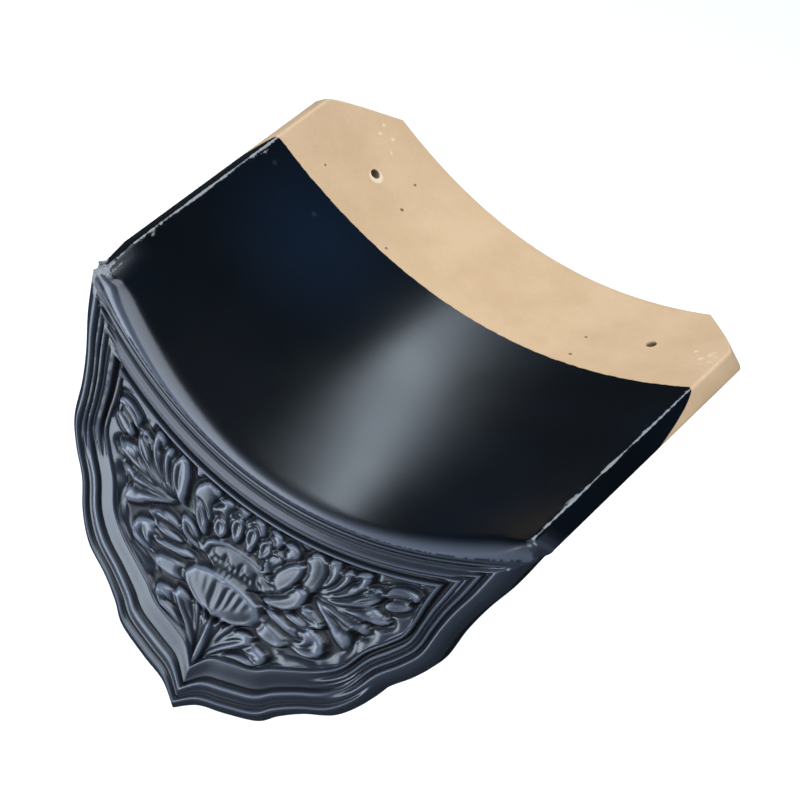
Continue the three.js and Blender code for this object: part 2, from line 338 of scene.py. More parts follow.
def spline(points, place):
    """Uniform Catmull-Rom curve through the points, read at places from 0 to 1."""
    knots = np.array(points, float)
    at = place * (len(knots) - 1)
    span = np.clip(at.astype(int), 0, len(knots) - 2)
    t = (at - span)[:, None]
    p0 = knots[np.where(span == 0, span, span - 1)]
    p1 = knots[span]
    p2 = knots[span + 1]
    p3 = knots[np.where(span > len(knots) - 3, len(knots) - 1, span + 2)]
    v0 = (p2 - p0) * 0.5
    v1 = (p3 - p1) * 0.5
    return (2 * p1 - 2 * p2 + v0 + v1) * t**3 + (-3 * p1 + 3 * p2 - 2 * v0 - v1) * t**2 + v0 * t + p1


def scallop_line(points):
    curve = spline(points, 1 - np.abs(SHARES))
    return np.sign(SHARES) * curve[:, 0], curve[:, 1]


def edge_drop(share, is_lip):
    drop = EDGE_DROP * np.abs(SHARES) ** 4 if is_lip else EDGE_DROP + 0 * SHARES
    return drop * np.maximum(0.0, 1 - share / EDGE_SHARE) ** 2


def profile(knots, share):
    """Height of a moulding that turns level at each knot."""
    places, heights = np.array(knots).T
    span = np.clip(np.searchsorted(places, share, "right") - 1, 0, len(places) - 2)
    return lerp(heights[span], heights[span + 1], smoothstep(places[span], places[span + 1], share))


def moulding(share, field_down, is_lip):
    """Height of the border over the apron's front plane, from the outline at 0 to the field at 1."""
    low = profile(LOW_MOULDING, share)
    left = lerp(profile(LEFT_MOULDING, share), low, smoothstep(*LEFT_ENDS, field_down))
    right = lerp(profile(RIGHT_MOULDING, share), low, smoothstep(*RIGHT_ENDS, field_down))
    side = np.where(SHARES < 0, left, right)
    if not is_lip:
        return side
    return lerp(profile(LIP_MOULDING, share), side, smoothstep(LIP_JOIN, 1.0, np.abs(SHARES)))


# Relief of the field, laid from the back to the front. Places are across from the middle and down the apron.

def neighbour_mean(grid):
    padded = np.pad(grid, 1, mode="edge")
    return (padded[2:, 1:-1] + padded[:-2, 1:-1] + padded[1:-1, 2:] + padded[1:-1, :-2] + grid) / 5


def bent_axis(x, down, start, end, bend):
    """Length of a bent line, and how far along and beside it each point lies."""
    along = np.array(end, float) - np.array(start, float)
    length = np.hypot(*along)
    along /= length
    dx = x - start[0]
    dv = down - start[1]
    run = (dx * along[0] + dv * along[1]) / length
    offset = dv * along[0] - dx * along[1] - 4 * bend * length * run * (1 - run)
    return length, run, offset


def blade(height, x, down, start, end, width, bend=0.0, belly=1.0, roundness=0.6, rise=3.0, cup=0.0, rim=0.0,
          gap=1.0):
    """A bent petal or leaf with a crowned or cupped face, laid over what is behind it."""
    length, run, offset = bent_axis(x, down, start, end, bend)
    within = np.clip(run, 0.0, 1.0)

    def half_at(place):
        return width * np.sin(np.pi * np.clip(place, 0.0, 1.0) ** belly) ** roundness

    half = half_at(within)
    slope = (half_at(within + SLOPE_STEP) - half_at(within - SLOPE_STEP)) / (2 * SLOPE_STEP * length)
    past = np.maximum(np.maximum(-run, run - 1), 0) * length
    inside = (half - np.hypot(offset, past)) / np.sqrt(1 + slope * slope)
    cross = np.clip(offset / np.maximum(half, THINNEST_PETAL), -1, 1)
    crown = 1 - cross * cross
    form = rise * lerp(np.sqrt(lerp(crown, 1 - crown, cup)), 1.0, FLATNESS)
    form = form + rim * bump(inside, PETAL_RIM_PLACE, PETAL_RIM_HALF)
    height = lerp(height, form, smoothstep(-EDGE_BLEND, EDGE_BLEND, inside))
    return height - OUTLINE_DEPTH * bump(inside, -OUTLINE_PLACE * gap, OUTLINE_HALF * gap)


def stroke(height, x, down, start, end, width, bend=0.0, depth=1.0):
    """A carved line, or a raised one where the depth is negative, tapered at both ends."""
    _, run, offset = bent_axis(x, down, start, end, bend)
    taper = np.sin(np.pi * np.clip(run, 0, 1)) ** CUT_TAPER
    return height - depth * taper * np.exp(-((offset / np.maximum(width * taper, THINNEST_CUT)) ** 2))


def laid(height, x, down, forms, side=1):
    """Petals and cuts laid one over another, as listed or mirrored to the left."""
    for make, start, end, width, shape in forms:
        turned = dict(shape, bend=side * shape.get("bend", 0.0))
        height = make(height, x, down, (side * start[0], start[1]), (side * end[0], end[1]), width, **turned)
    return height


# Leaf sprays: leaflets from one root, each with a vein, and hooks cut at their tips.
# A leaf has its tip's place across and down, its width, bend and gap. A vein has its width and depth.
LEAF_ROOT = (33, 75)
LEAF_VEIN_START = (36, 73.5)
VEIN_REACH = 0.9
LEAF_SHAPE = dict(belly=1.5, roundness=0.55, rise=2.8, rim=0.5)
LEAF_VEIN = (0.7, 1.1)
LEAFLETS = (
    (60, 87, 6.2, -0.15, 2.0), (65.5, 76, 5.2, -0.1, 1.3), (72, 66.5, 4.4, -0.05, 1.3),
    (66, 55.5, 4.6, 0.04, 1.0), (57, 52.2, 4.4, 0.06, 1.0), (49, 55.5, 3.4, 0.06, 1.0),
    (41.8, 54.6, 4.4, 0.05, 1.0),
)
TIP_HOOK = dict(bend=0.25, depth=2.0)
BUD = dict(roundness=0.36, rise=2.5)
SPRAY_ENDS = (
    (stroke, (45.5, 59), (41.6, 55.6), 1.0, TIP_HOOK),
    (stroke, (49, 61), (52.5, 54), 1.0, TIP_HOOK),
    (stroke, (58.5, 60), (58, 52.5), 1.0, TIP_HOOK),
    (stroke, (67.5, 57), (61.5, 53.5), 1.0, TIP_HOOK),
    (stroke, (72, 71), (66.5, 65.5), 1.0, TIP_HOOK),
    (stroke, (64, 81), (59.5, 75.5), 1.0, TIP_HOOK),
    (blade, (65.5, 55.8), (79, 48.6), 3.3, BUD),
    (blade, (67, 60.8), (77.5, 54.2), 2.4, BUD),
)

# Lower leaves: leaves from the stem's foot, each with a vein, and stems between them
STEM_ROOT = (0, 135)
STEM_VEIN_START = (4, 129)
LOWER_SHAPE = dict(belly=1.7, roundness=0.5, rise=2.8, rim=0.6)
LOWER_VEIN = (0.8, 1.2)
LOWER_LEAVES = ((29, 113, 6.6, -0.06, 1.9), (26, 119.5, 3.4, -0.04, 1.2), (20.5, 109, 4.4, -0.1, 1.2))
SIDE_STEMS = (
    (stroke, (27.5, 114), (19, 110.5), 1.1, dict(bend=0.25, depth=2.0)),
    (blade, (0, 136), (12.5, 107), 2.1, dict(bend=-0.1, rise=3.0)),
    (blade, (0, 136), (6.5, 106), 1.8, dict(bend=-0.06, rise=3.2)),
)
MIDDLE_STEM = ((blade, (0, 137), (0, 106), 1.9, dict(rise=3.4)),)

# Flower: broad petals at each side, then upper and inner petals, the heart, its comb, and the front petal
SIDE_PETALS = (
    (blade, (20, 91), (47, 85.5), 4.0,
     dict(bend=-0.08, belly=1.6, roundness=0.5, rise=2.8, rim=0.6, gap=1.4)),
    (stroke, (44.5, 87), (36.5, 84), 1.1, dict(bend=0.3, depth=1.6)),
    (blade, (14, 95.5), (51, 95.5), 7.2,
     dict(belly=1.5, roundness=0.4, rise=2.7, cup=0.5, rim=1.1, gap=1.9)),
    (blade, (18, 92.5), (39, 96), 2.2, dict(rise=3.6)),
    (blade, (26, 90), (39.5, 89.8), 1.7, dict(rise=3.4)),
    (stroke, (41, 99), (46, 90), 1.8, dict(bend=0.25, depth=1.0)),
    (blade, (15, 101.5), (34.5, 102.5), 4.2, dict(belly=1.2, roundness=0.32, rise=3.4, rim=0.5, gap=1.7)),
)
UPPER = dict(belly=1.7, roundness=0.4, rise=2.9, rim=0.4, gap=0.5)
HOOK = dict(bend=-0.28, depth=2.6)
INNER = dict(belly=1.3, roundness=0.55, rise=2.9, cup=0.9, rim=0.7, gap=0.6)
WING = dict(belly=1.2, roundness=0.5, rise=3.4, rim=0.4)
FLOWER_BACK = (
    (blade, (-19.5, 77), (-26, 58.6), 7.0, UPPER),
    (blade, (33, 80), (33.5, 57.3), 6.0, UPPER),
    (blade, (-11, 77), (-15.5, 60.6), 5.8, UPPER),
    (blade, (22, 77), (19, 61), 5.8, UPPER),
    (blade, (-5, 77), (-6.8, 59.4), 5.2, UPPER),
    (blade, (13, 77), (10.5, 60.2), 5.4, UPPER),
    (blade, (2, 77), (1.5, 59.6), 5.2, UPPER),
    (stroke, (-32, 65.5), (-27.5, 60.3), 1.1, HOOK),
    (stroke, (-19.5, 67.5), (-15.2, 63.6), 1.1, HOOK),
    (stroke, (-10.2, 66), (-6.2, 61.4), 1.1, HOOK),
    (stroke, (-3.4, 65), (1.4, 61), 1.1, HOOK),
    (stroke, (7.4, 66), (11.2, 61.9), 1.1, HOOK),
    (stroke, (15.6, 67.4), (19.6, 64), 1.1, HOOK),
    (stroke, (25, 66.5), (30.8, 60.3), 1.1, HOOK),
    (blade, (-18, 82.5), (-27.5, 68.5), 2.7, INNER),
    (blade, (-16.5, 89), (-31.5, 79), 3.3, INNER),
    (blade, (-11.5, 79), (-15.5, 70), 3.6, INNER),
    (blade, (13, 80), (16.5, 68), 4.6, INNER),
    (blade, (-5, 76), (-6.8, 64.8), 3.3, INNER),
    (blade, (8, 76), (9.8, 65.8), 3.4, INNER),
    (blade, (2, 75), (1, 64.5), 3.3, INNER),
    (blade, (17, 91), (34.5, 77), 5.6, WING),
    (blade, (16, 88), (28.5, 66), 4.4, WING),
    (stroke, (18, 88.5), (29, 80), 0.8, dict(bend=0.04, depth=1.0)),
    (blade, (-18.5, 85), (18.5, 85), 7.6, dict(roundness=0.45, rise=2.5, cup=0.6)),
    (stroke, (-18, 84.5), (-1, 76), 1.3, dict(bend=-0.1, depth=-1.5)),
    (stroke, (-2, 75.5), (18.5, 83.5), 1.8, dict(bend=-0.12, depth=-1.9)),
)
COMB_TEETH = 11
COMB_REACH = 14.5
COMB_FOOT = 91.5
COMB_TOP = 84
COMB_UNEVEN = 2
COMB_WAVE = 2.1
COMB_SPREAD = 0.86
COMB_WIDTH = 0.8
COMB_DEPTH = 1.8
FLOWER_FRONT = (
    (blade, (0.5, 110), (0.5, 91.5), 19.8, dict(belly=1.3, roundness=0.34, rise=3.9, rim=0.7, gap=1.8)),
    (stroke, (-10.8, 102), (-13.5, 93), 0.8, dict(depth=0.2)),
    (stroke, (-6.8, 104), (-8.5, 93), 0.8, dict(depth=0.3)),
    (stroke, (-2.8, 107), (-3.5, 93), 1.5, dict(depth=0.8)),
    (stroke, (1.92, 106), (2.4, 93), 0.9, dict(depth=0.8)),
    (stroke, (4.96, 104), (6.2, 93), 0.9, dict(depth=0.8)),
    (stroke, (8.4, 103), (10.5, 93), 0.9, dict(depth=0.6)),
    (stroke, (12, 101), (15, 93), 0.8, dict(depth=0.3)),
    (stroke, (-16.5, 92.2), (18, 91.6), 0.9, dict(bend=-0.01, depth=-0.8)),
)


def veined_leaves(leaves, root, shape, vein_start, vein):
    """Leaves from their root to their tips, each with one cut along its middle."""
    forms = []
    for tip, top, width, bend, gap in leaves:
        vein_end = (lerp(root[0], tip, VEIN_REACH), lerp(root[1], top, VEIN_REACH))
        forms.append((blade, root, (tip, top), width, dict(shape, bend=bend, gap=gap)))
        forms.append((stroke, vein_start, vein_end, vein[0], dict(bend=bend, depth=vein[1])))
    return forms


def leaf_spray(height, x, down, side):
    leaves = veined_leaves(LEAFLETS, LEAF_ROOT, LEAF_SHAPE, LEAF_VEIN_START, LEAF_VEIN)
    height = laid(height, x, down, leaves, side)
    return laid(height, x, down, SPRAY_ENDS, side)


def lower_leaves(height, x, down):
    leaves = veined_leaves(LOWER_LEAVES, STEM_ROOT, LOWER_SHAPE, STEM_VEIN_START, LOWER_VEIN)
    for side in (-1, 1):
        height = laid(height, x, down, leaves, side)
        height = laid(height, x, down, SIDE_STEMS, side)
    return laid(height, x, down, MIDDLE_STEM)


def comb(height, x, down):
    """Short cuts side by side in the flower's heart."""
    for tooth in range(COMB_TEETH):
        across = lerp(-COMB_REACH, COMB_REACH, tooth / (COMB_TEETH - 1))
        tip = (across * COMB_SPREAD, COMB_TOP - COMB_UNEVEN * math.cos(tooth * COMB_WAVE))
        height = stroke(height, x, down, (across, COMB_FOOT), tip, COMB_WIDTH, depth=COMB_DEPTH)
    return height


def peony(height, x, down):
    for side in (-1, 1):
        height = laid(height, x, down, SIDE_PETALS, side)
    height = laid(height, x, down, FLOWER_BACK)
    return laid(comb(height, x, down), x, down, FLOWER_FRONT)


def relief(x, down):
    height = FIELD_WAVE
    for wave_across, wave_down in FIELD_WAVES:
        height = height * np.sin(wave_across * x + wave_down * down)
    for side in (-1, 1):
        height = leaf_spray(height, x, down, side)
    height = peony(lower_leaves(height, x, down), x, down)
    height = np.maximum(height, DEEPEST)
    for _ in range(SMOOTHING):
        height = neighbour_mean(height)
    return height


def standing(height):
    """How far each point of a grid of heights stands out of its surroundings, from 0 to 1."""
    level = height
    for _ in range(SURROUNDINGS):
        level = neighbour_mean(level)
    return np.clip(0.5 + (height - level) / STAND_RANGE, 0, 1)


# Mesh of the tile

class Skin:
    """Quads gathered patch by patch, each point with what the glaze needs to know about it."""

    def __init__(self):
        self.points = []
        self.faces = []
        self.values = {"crest": [], "depth": [], "bare": [], "apron": [], "worn": []}
        self.count = 0

    def patch(self, grid, flipped=False, **values):
        rows, columns = grid.shape[:2]
        index = self.count + np.arange(rows * columns).reshape(rows, columns)
        quads = np.stack([index[:-1, :-1], index[:-1, 1:], index[1:, 1:], index[1:, :-1]], -1).reshape(-1, 4)
        self.faces.append(quads[:, ::-1] if flipped else quads)
        self.points.append(grid.reshape(-1, 3))
        for name, known in self.values.items():
            known.append(np.broadcast_to(values.get(name, 0.0), (rows, columns)).reshape(-1))
        self.count += rows * columns


def border_grid(outer, inner, is_lip):
    """Points of a border and how far each stands out of or lies below its surroundings."""
    share = np.linspace(0, 1, BORDER_ROWS + 1)[:, None]
    height = moulding(share, inner[1], is_lip)
    points = apron_points(lerp(outer[0], inner[0], share), lerp(outer[1], inner[1], share),
                          height - edge_drop(share, is_lip))
    return points, standing(height)


def field_grid(top, bottom):
    """Points of the carved field between two lines, and how far each stands out, closed at both corners."""
    rows = np.linspace(0, 1, FIELD_ROWS + 1)[:, None]
    x = lerp(top[0], bottom[0], rows)
    down = lerp(top[1], bottom[1], rows)
    fade = smoothstep(0, FIELD_FADE, rows) * (1 - smoothstep(1 - FIELD_FADE, 1, rows))
    carved = relief(x, down) * fade
    carved[:, [0, -1]] = 0
    return apron_points(x, down, FIELD_LEVEL + carved), standing(carved)


def bezier(a, b, c, t):
    return (1 - t) ** 2 * a + 2 * t * (1 - t) * b + t * t * c


def rounded_edge(start, first, second, end):
    """Rows of a rim from one face to the other, around the edge's two rounded corners."""
    across = second - first
    inset = RIM_ROUND / np.linalg.norm(across, axis=-1, keepdims=True)
    near = first + across * inset
    far = second - across * inset
    steps = np.linspace(0, 1, RIM_ROWS // 2)
    rows = [bezier(start, first, near, t) for t in steps] + [bezier(far, second, end, t) for t in steps]
    return np.array(rows)


def apron_wall(scallops, field_bottom, front, tail_corners):
    """Rows of the apron's edge from its front to its back, and the line where its back begins."""
    full = np.full(COLUMNS + 1, -APRON_THICK)
    back_corner = apron_points(*scallops, full)
    back_start = apron_points(*scallops, full + RIM_ROUND)
    back_edge = apron_points(lerp(scallops[0], field_bottom[0], BACK_ROUND),
                             lerp(scallops[1], field_bottom[1], BACK_ROUND), full)
    back_edge[[0, -1]] = tail_corners
    half_rows = RIM_ROWS // 2
    rows = [lerp(front, back_start, t) for t in np.linspace(0, 1, half_rows, endpoint=False)]
    rows += [bezier(back_start, back_corner, back_edge, t) for t in np.linspace(0, 1, half_rows)]
    return np.array(rows), back_edge


def corner_fill(lip_end, rim, wall):
    """Triangular patch at the front end of a rim, between the lip, the rim and the apron's edge."""
    k = np.linspace(0, 1, len(lip_end))[None, :, None]
    t = np.linspace(0, 1, len(rim))[:, None, None]
    apex = rim[-1]
    ruled = (1 - k) * rim[:, None] + k * wall[:, None] + (1 - t) * lip_end[None] + t * apex
    outward = np.array(CORNER_BULGE) * (math.copysign(1, apex[0]), 1, 1)
    swell = 16 * k * (1 - k) * t * (1 - t) * outward
    return ruled - ((1 - k) * (1 - t) * rim[0] + k * (1 - t) * wall[0] + t * apex) + swell


def around(grid):
    """The pan's edge from the left front corner, around the tail, to the right front corner."""
    return np.concatenate([grid[:-1, 0], grid[-1], grid[-2::-1, -1]])


def tile_mesh():
    skin = Skin()
    lip_line = arch_line(CORNER, LIP_MIDDLE)
    field_top = arch_line(FIELD_CORNER, FIELD_TOP_MIDDLE)
    scallops = scallop_line(SIDE_OUTLINE)
    field_bottom = scallop_line(SIDE_FIELD)
    outermost = np.abs(SHARES)

    # Apron's front
    lip_border, lip_crest = border_grid(lip_line, field_top, True)
    side_border, side_crest = border_grid(scallops, field_bottom, False)
    field, field_crest = field_grid(field_top, field_bottom)
    scuffed = np.where(SHARES < 0, LEFT_SCUFF, RIGHT_SCUFF) * smoothstep(SCUFF_START, 1.0, outermost)
    # Painted highlight on the crest lines of the left border's upper part
    upper_left = np.where(SHARES < 0, 1 - smoothstep(*LEFT_ENDS, field_bottom[1]), 0)
    line_highlight = LINE_HIGHLIGHT * upper_left * smoothstep(*LINE_HIGHLIGHT_CREST, side_crest)
    skin.patch(lip_border, True, crest=lip_crest, apron=1.0, worn=scuffed)
    skin.patch(side_border, crest=side_crest, apron=1.0, worn=np.maximum(scuffed, line_highlight))
    skin.patch(field, True, crest=field_crest, apron=1.0)

    # Pan's inside and underside
    cut_runs = np.linspace(CUT_START, 1, CUT_ROWS + 1)[1:]
    runs = np.concatenate([np.linspace(0, CUT_START, PAN_ROWS + 1), cut_runs])
    edge_shares = SHARES * (1 - RIM_ROUND / (PAN_WIDTH / 2))
    edge_runs = runs * (1 - RIM_ROUND / PAN_LENGTH)
    lip_drop = lerp(LIP_DROP, CORNER_DROP, smoothstep(LIP_END, 1.0, outermost))
    front_dip = FRONT_DIP * smoothstep(SCUFF_START, 1.0, -SHARES)
    inside = pan_surface(inside_points, -lip_drop, edge_shares, edge_runs)
    inside[0, :, 2] -= front_dip
    underside = pan_surface(underside_points, -APRON_THICK, edge_shares, edge_runs)
    # Light line along the pan's inside by both rims: partly rubbed glaze, partly painted highlight
    skin.patch(inside, worn=INSIDE_WEAR_AND_HIGHLIGHT * smoothstep(INSIDE_WEAR_AND_HIGHLIGHT_START, 1.0, outermost))
    skin.patch(underside, True, bare=1.0, depth=PAN_THICK)

    # Lip between the pan and the apron
    edge = inside_points(edge_shares, front_of_pan(pan_height(edge_shares), 0))
    edge[:, 2] -= front_dip
    steps = np.linspace(0, 1, LIP_ROWS + 1)
    lip = np.array([bezier(inside[0], edge, lip_border[0], t) for t in steps])
    lip_glaze = smoothstep(LIP_GLAZE_START, 1.0, steps)[:, None]
    skin.patch(lip, True, apron=lip_glaze, crest=LIP_CREST, worn=scuffed)

    # Apron's edge and back
    wall, back_edge = apron_wall(scallops, field_bottom, side_border[0], underside[0, [0, -1]])
    skin.patch(wall, True, apron=1.0, bare=np.linspace(0, 1, RIM_ROWS)[:, None] ** 4)
    back = np.array([lerp(underside[0], back_edge, t) for t in np.linspace(0, 1, BACK_ROWS + 1)])
    skin.patch(back, bare=1.0, apron=1.0, depth=PAN_THICK)

    # One band around the rims and the tail, closed by a patch at each front corner
    full_inside = pan_surface(inside_points, -lip_drop, SHARES, runs)
    full_inside[0, :, 2] -= front_dip
    full_underside = pan_surface(underside_points, -APRON_THICK, SHARES, runs)
    full_underside[0, :, 2] -= front_dip
    rim = rounded_edge(around(inside), around(full_inside), around(full_underside), around(underside))
    rim_steps = np.linalg.norm(np.diff(rim, axis=0), axis=-1)
    rim_depth = np.concatenate([0 * rim_steps[:1], np.cumsum(rim_steps, axis=0)])
    # Light line along the rims' inner edge: partly rubbed glaze, partly painted highlight
    rim_wear_and_highlight = bump(np.arange(RIM_ROWS), RIM_LINE_ROW, RIM_LINE_ROWS)[:, None]
    skin.patch(rim, True, depth=rim_depth, worn=rim_wear_and_highlight)
    for end, flipped, worn in ((0, True, LEFT_SCUFF), (-1, False, RIGHT_SCUFF)):
        filled = corner_fill(lip[:, end], rim[:, end], wall[:, end])
        skin.patch(filled, flipped, crest=CORNER_CREST, apron=1.0, worn=worn)
    return skin


def pan_place(x, y, below=0.0):
    """A place on the pan's inside, or some way below it, in the mesh's own metres."""
    share = x / half_width(y)
    slope = 2 * PAN_DEPTH * share / half_width(y)
    down = below / math.hypot(1, slope)
    return ((x + slope * down) * MM, (y - BED_FROM_FRONT) * MM, (pan_height(share) - BED_HEIGHT - down) * MM)


def add_nail_holes(tile):
    """Cuts the two holes square to the pan's surface."""
    radius = NAIL_DIAMETER / 2 * MM
    lean = math.atan(2 * PAN_DEPTH * NAIL_X / half_width(NAIL_Y) ** 2)
    for side in (-1, 1):
        mesh = bpy.data.meshes.new("nail_hole")
        work = bmesh.new()
        bmesh.ops.create_cone(work, cap_ends=True, segments=NAIL_SEGMENTS, radius1=radius, radius2=radius,
                              depth=4 * PAN_THICK * MM)
        work.to_mesh(mesh)
        work.free()
        cutter = bpy.data.objects.new("nail_hole", mesh)
        cutter.rotation_euler = (0, -side * lean, 0)
        cutter.location = pan_place(side * NAIL_X, NAIL_Y)
        bpy.context.scene.collection.objects.link(cutter)
        cut = tile.modifiers.new("nail_hole", "BOOLEAN")
        cut.operation = "DIFFERENCE"
        cut.solver = "EXACT"
        cut.object = cutter
        bpy.context.view_layer.objects.active = tile
        bpy.ops.object.modifier_apply(modifier=cut.name)
        bpy.data.objects.remove(cutter)


def mesh_from(skin):
    points = np.concatenate(skin.points)
    points[:, 1] -= BED_FROM_FRONT
    points[:, 2] -= BED_HEIGHT
    mesh = bpy.data.meshes.new("glazed_tile")
    mesh.from_pydata((points * MM).tolist(), [], np.concatenate(skin.faces).tolist())
    for name, values in skin.values.items():
        layer = mesh.attributes.new(name, "FLOAT", "POINT")
        layer.data.foreach_set("value", np.concatenate(values).astype(np.float32))
    work = bmesh.new()
    work.from_mesh(mesh)
    bmesh.ops.remove_doubles(work, verts=work.verts, dist=WELD)
    bmesh.ops.dissolve_degenerate(work, edges=work.edges, dist=WELD)
    bmesh.ops.recalc_face_normals(work, faces=work.faces)
    work.to_mesh(mesh)
    work.free()
    return mesh


# Materials

class Graph:
    """Short ways to add and join a material's nodes."""

    def __init__(self, material):
        material.use_nodes = True
        self.tree = material.node_tree
        self.shader = self.tree.nodes["Principled BSDF"]

    def add(self, kind, inputs=None, **settings):
        made = self.tree.nodes.new(kind)
        for key, value in settings.items():
            setattr(made, key, value)
        for key, value in (inputs or {}).items():
            self.join(value, made.inputs[key])
        return made

    def join(self, value, socket):
        if isinstance(value, bpy.types.NodeSocket):
            self.tree.links.new(value, socket)
        else:
            socket.default_value = value

    def math(self, operation, a, b=0.0, c=0.0):
        made = self.add("ShaderNodeMath", {0: a, 1: b, 2: c}, operation=operation)
        return made.outputs[0]

    def ramp(self, value, low, high, start=0.0, end=1.0):
        made = self.add("ShaderNodeMapRange", {"Value": value, "From Min": low, "From Max": high,
                                               "To Min": start, "To Max": end})
        made.interpolation_type = "SMOOTHSTEP"
        return made.outputs["Result"]

    def noise(self, where, scale, detail, roughness):
        made = self.add("ShaderNodeTexNoise", {"Vector": where, "Scale": scale, "Detail": detail,
                                               "Roughness": roughness})
        return made.outputs["Fac"]

    def mix(self, share, a, b):
        made = self.add("ShaderNodeMix", data_type="RGBA")
        self.join(share, made.inputs["Factor"])
        self.join(a, made.inputs[6])
        self.join(b, made.inputs[7])
        return made.outputs[2]

    def value(self, name):
        return self.add("ShaderNodeAttribute", attribute_name=name).outputs["Fac"]


def spots(graph, where, marks, below=0.0, soft=0.3):
    """Share of small round marks: place across and from the front, and radius."""
    total = 0.0
    for x, y, radius in marks:
        far = graph.add("ShaderNodeVectorMath", {0: where, 1: pan_place(x, y, below)}, operation="DISTANCE")
        near = graph.ramp(far.outputs["Value"], radius * (1 - soft) * MM, radius * (1 + soft) * MM, 1.0, 0.0)
        total = graph.math("MAXIMUM", near, total)
    return total


def bare_clay(graph, where):
    """Share of bare clay: behind the glaze line on top, and all over the underside."""
    place = graph.add("ShaderNodeSeparateXYZ", {0: where})
    x = place.outputs["X"]
    y = place.outputs["Y"]
    across = graph.math("MULTIPLY", x, 1 / (PAN_WIDTH / 2 * MM))
    bow = graph.math("MULTIPLY", graph.math("MULTIPLY", across, across), -GLAZE_BOW * MM)
    line = graph.math("ADD", bow, (GLAZE_LINE - BED_FROM_FRONT) * MM)
    line = graph.math("ADD", line, graph.math("MULTIPLY", across, GLAZE_TILT * MM))
    slant = graph.math("MULTIPLY_ADD", across, -GLAZE_SLANT_TILT * MM, -GLAZE_SLANT * MM)
    depth = graph.value("depth")
    curved = graph.math("MULTIPLY", depth, graph.math("MULTIPLY", depth, 1 / PAN_THICK))
    line = graph.math("MULTIPLY_ADD", curved, slant, line)
    unevenness = graph.noise(where, *GLAZE_LINE_NOISE)
    ragged = graph.math("MULTIPLY_ADD", unevenness, GLAZE_RAGGED * MM, -GLAZE_RAGGED / 2 * MM)
    past = graph.math("ADD", graph.math("SUBTRACT", y, line), ragged)
    on_top = graph.ramp(past, GLAZE_EDGE[0] * MM, GLAZE_EDGE[1] * MM)
    under = graph.math("MULTIPLY_ADD", graph.noise(where, *UNDERSIDE_NOISE), 0.5, graph.value("bare"))
    under = graph.ramp(under, 0.95, 1.0)
    return graph.math("MAXIMUM", on_top, under)


def glaze_colour(graph, where, apron, crest, worn):
    """Blue-black in the pan, and on the apron dark in the hollows, partly pooling and partly painted shade,
    and grey on the crests where the glaze runs thin, partly painted highlight; light grey on rubbed glaze
    and on the painted highlight lines.
    """
    clouds = graph.ramp(graph.noise(where, *CLOUD_NOISE), 0.5, 0.75, 0.0, CLOUD_SHARE)
    blue = graph.math("MAXIMUM", clouds, spots(graph, where, BLUE_PATCH, soft=0.9))
    deep = graph.mix(blue, DEEP_GLAZE, BLUE_GLAZE)
    blisters = graph.math("MULTIPLY", spots(graph, where, GLAZE_BLISTERS, soft=0.6), BLISTER_SHARE)
    deep = graph.mix(blisters, deep, BLISTER_GLAZE)
    # Painted shade in the hollows and painted highlight on the crests, together with the glaze's own pooling
    # and thinning
    pooling_and_shade = graph.mix(graph.ramp(crest, *SLATE_CREST), POOLED_GLAZE_AND_SHADE, SLATE_GLAZE)
    slate = graph.mix(graph.ramp(crest, *THIN_AND_HIGHLIT_CREST), pooling_and_shade, THIN_GLAZE_AND_HIGHLIGHT)
    return graph.mix(worn, graph.mix(apron, deep, slate), WORN_GLAZE_AND_HIGHLIGHT)


def clay_colour(graph, where, flecks, speckle):
    """Tan clay with a fine grain, paler chips, paler rims along the light rim line that is partly painted
    highlight, brown pits, and painted shade inside the nail holes.
    """
    tone = graph.noise(where, *CLAY_TONE_NOISE)
    warm = graph.mix(graph.ramp(tone, 0.3, 0.7), DARK_CLAY, LIGHT_CLAY)
    grainy = graph.mix(graph.ramp(speckle, 0.55, 0.8, 0.0, GRAIN_SHARE), warm, GRAIN_CLAY)
    worn = graph.value("worn")
    ring = spots(graph, where, CHIPPED_RING, soft=0.15)
    chips = graph.math("MULTIPLY", spots(graph, where, CLAY_CHIPS, soft=0.8), graph.ramp(flecks, 0.4, 0.55))
    pale = graph.math("MULTIPLY", graph.math("MAXIMUM", ring, chips), CHIP_SHARE)
    pale = graph.math("MAXIMUM", pale, graph.ramp(worn, 0.75, 0.95, 0.0, RIM_PALENESS))
    marked = graph.mix(pale, grainy, CHIPPED_CLAY)
    broken = graph.ramp(flecks, 0.3, 0.6, 0.0, SEAM_SHARE)
    seam = graph.math("MULTIPLY", graph.ramp(worn, 0.9, 1.0), broken)
    dark = graph.math("MAXIMUM", seam, spots(graph, where, CLAY_PITS))
    # Painted shade inside the nail holes
    dark = graph.math("MAXIMUM", dark, spots(graph, where, HOLE_SHADES, HOLE_SHADE_DEPTH, 0.08))
    return graph.mix(graph.math("MULTIPLY", dark, PIT_AND_HOLE_SHADE_SHARE), marked, PIT_AND_HOLE_SHADE_BROWN)


def surface_roughness(graph, where, apron, crest, worn, clay):
    """Glossy glaze, duller in the apron's hollows, on rubbed glaze and along the painted highlight lines,
    and dull clay.
    """
    sheen = graph.ramp(graph.noise(where, *SHEEN_NOISE), 0.3, 0.7, *GLAZE_ROUGHNESS)
    hollow = graph.ramp(crest, *HOLLOW_CREST, HOLLOW_ROUGHNESS, 0.0)
    sheen = graph.math("MULTIPLY_ADD", hollow, apron, sheen)
    sheen = graph.math("MULTIPLY_ADD", apron, APRON_ROUGHNESS, sheen)
    sheen = graph.math("MULTIPLY_ADD", worn, WORN_ROUGHNESS, sheen)
    return graph.math("MAXIMUM", sheen, graph.math("MULTIPLY", clay, CLAY_ROUGHNESS))


